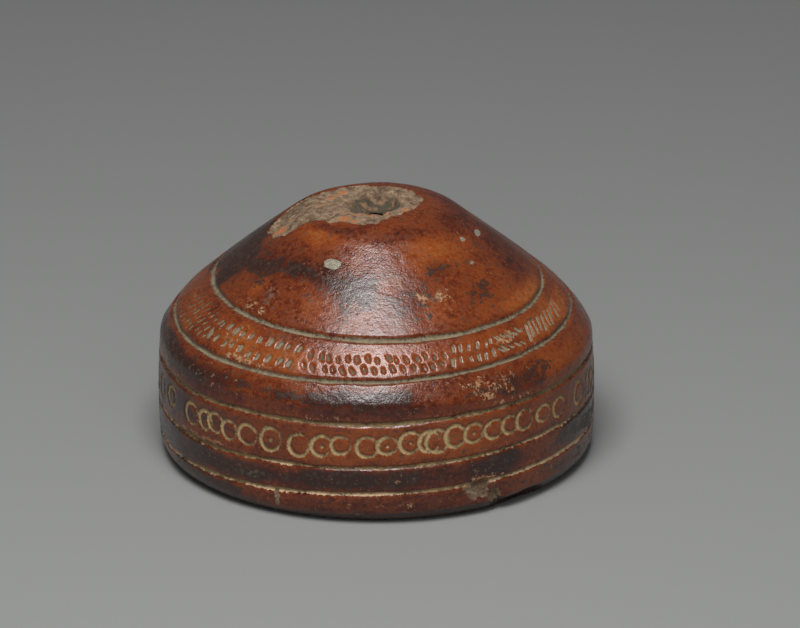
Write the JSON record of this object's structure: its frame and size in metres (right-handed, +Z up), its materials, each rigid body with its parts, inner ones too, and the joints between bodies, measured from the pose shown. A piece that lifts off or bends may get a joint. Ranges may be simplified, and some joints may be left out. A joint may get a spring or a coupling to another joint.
{
  "type": "clay spindle whorl",
  "caption": "Domed clay spindle whorl with a through hole, turned grooves, stamped circles and pricked pits, lying on its flat underside.",
  "frame": {"origin": "centre of the flat underside, where the whorl lies", "axes": "+Z up along the hole, out of the dome; the better preserved side faces -Y, and +X is to its right"},
  "size_m": [0.036, 0.036, 0.0213],
  "materials": {
    "burnished_clay": "red-brown slip burnished to a soft shine, fire-clouded dark brown, with pale soil in the cuts and bare buff clay at the breaks"
  },
  "bodies": {
    "root": {"whorl": "burnished_clay"}
  },
  "joints": []
}
